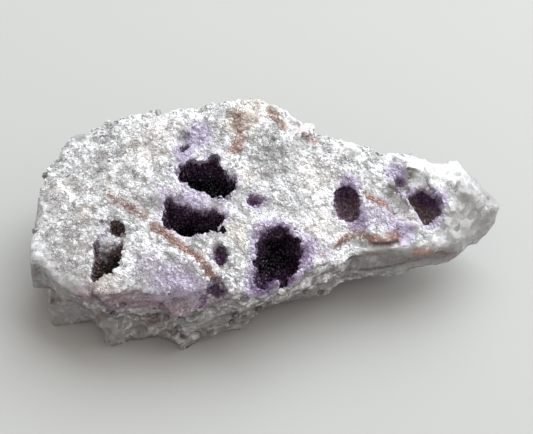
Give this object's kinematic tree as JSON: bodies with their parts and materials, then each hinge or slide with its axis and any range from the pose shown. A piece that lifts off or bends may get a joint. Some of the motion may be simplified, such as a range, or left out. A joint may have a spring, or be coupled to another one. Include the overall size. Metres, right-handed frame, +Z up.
{
  "type": "rough amethyst specimen",
  "caption": "Rough hand-sized quartz mass with a sparkling drusy top, open hollows lined with dark amethyst crystals, a blunt end, a tapered tip and broken, ledged sides.",
  "frame": {"origin": "under the middle of the part's box, on the surface it rests on", "axes": "+X along the length toward the tapered tip, +Y toward the high back edge, +Z up"},
  "size_m": [0.121, 0.0612, 0.0394],
  "materials": {
    "quartz": "drusy, sparkling; milky white to grey quartz",
    "amethyst": "dark purple crystals with glossy faces"
  },
  "bodies": {
    "root": {"quartz_mass": "quartz", "upper_crystals": "amethyst", "lower_crystals": "amethyst", "front_crystals": "amethyst", "left_crystals": "amethyst"}
  },
  "joints": []
}
